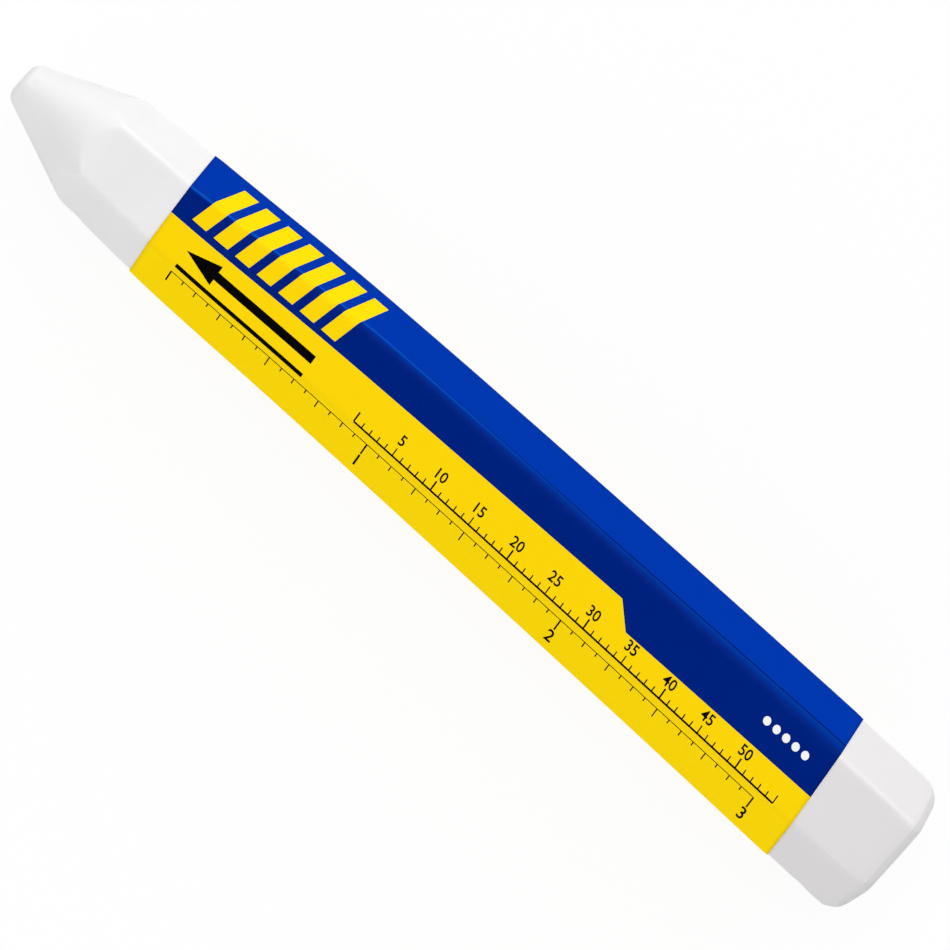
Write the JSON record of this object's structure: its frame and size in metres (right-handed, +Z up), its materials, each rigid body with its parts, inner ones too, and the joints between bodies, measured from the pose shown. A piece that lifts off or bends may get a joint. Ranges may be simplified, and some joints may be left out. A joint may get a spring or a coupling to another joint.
{
  "type": "marking crayon",
  "caption": "Hexagonal cast wax marking crayon with a blunt cone point, held in a thin printed paper wrapper that leaves both ends bare.",
  "frame": {"origin": "on the surface the crayon lies on, under the middle of its bounding box", "axes": "+X runs along the crayon from its point to its rear end, +Z is up from the flat it lies on, and +Y completes the frame towards the blue side"},
  "size_m": [0.1142, 0.0164, 0.0143],
  "materials": {
    "white_wax": "cast white marking wax, dull with a faint waxy sheen",
    "printed_paper": "thin coated paper printed in blue and yellow",
    "dried_glue": "dried label adhesive film"
  },
  "bodies": {
    "root": {"crayon_stick": "white_wax", "paper_wrapper": "printed_paper", "pickup_glue_strip": "dried_glue", "lap_glue_strip": "dried_glue"}
  },
  "joints": []
}
